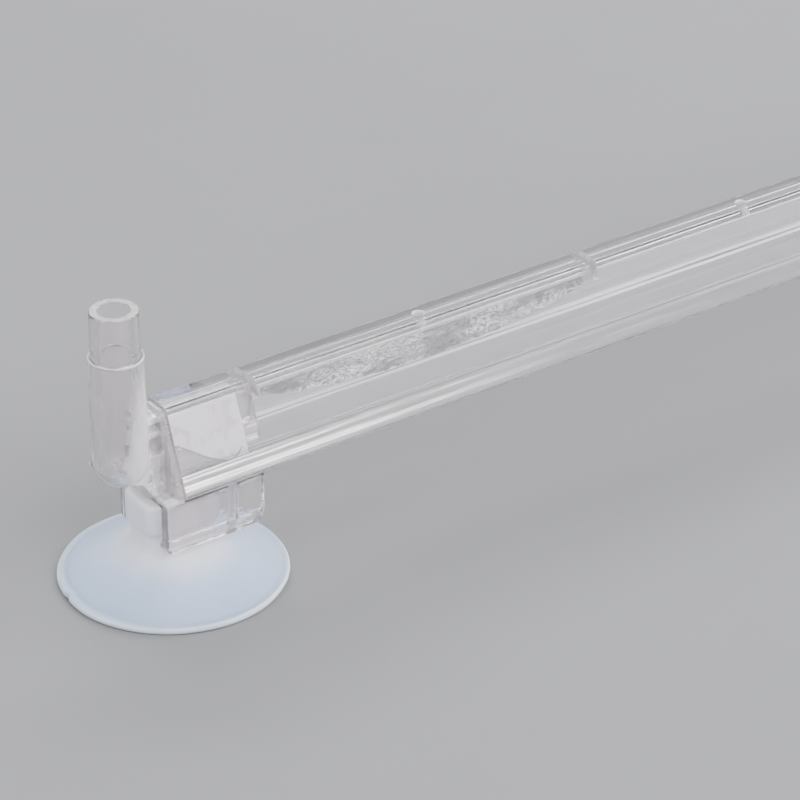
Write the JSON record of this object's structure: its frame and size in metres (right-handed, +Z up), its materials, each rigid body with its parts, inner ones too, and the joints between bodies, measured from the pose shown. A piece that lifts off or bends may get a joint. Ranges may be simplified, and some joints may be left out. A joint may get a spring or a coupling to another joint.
{
  "type": "air stone",
  "caption": "Clear plastic air bar with a tapered hollow tube, slits along its top, an upright stepped hose spigot at one end and a suction cup held in rails under each end.",
  "frame": {"origin": "under the middle of the bar, on the surface the suction cups rest on", "axes": "+X along the bar, away from the hose spigot; +Y across the bar; +Z up, out of the air slits"},
  "size_m": [0.2276, 0.025, 0.0338],
  "materials": {
    "clear_plastic": "clear, polished",
    "frosted_plastic": "crinkled, frosted",
    "milky_silicone": "satin, translucent milky"
  },
  "bodies": {
    "bar": {"air_tube": "clear_plastic", "inlet_end_fitting": "clear_plastic", "blank_end_fitting": "clear_plastic", "inner_strip": "frosted_plastic"},
    "inlet_cup": {"inlet_suction_cup": "milky_silicone"},
    "blank_cup": {"blank_suction_cup": "milky_silicone"}
  },
  "joints": [
    {"name": "inlet_cup_slide", "type": "slide", "parent": "bar", "child": "inlet_cup", "axis": [-1, 0, 0], "range_m": [0, 0.008]},
    {"name": "blank_cup_slide", "type": "slide", "parent": "bar", "child": "blank_cup", "axis": [1, 0, 0], "range_m": [0, 0.008]}
  ]
}
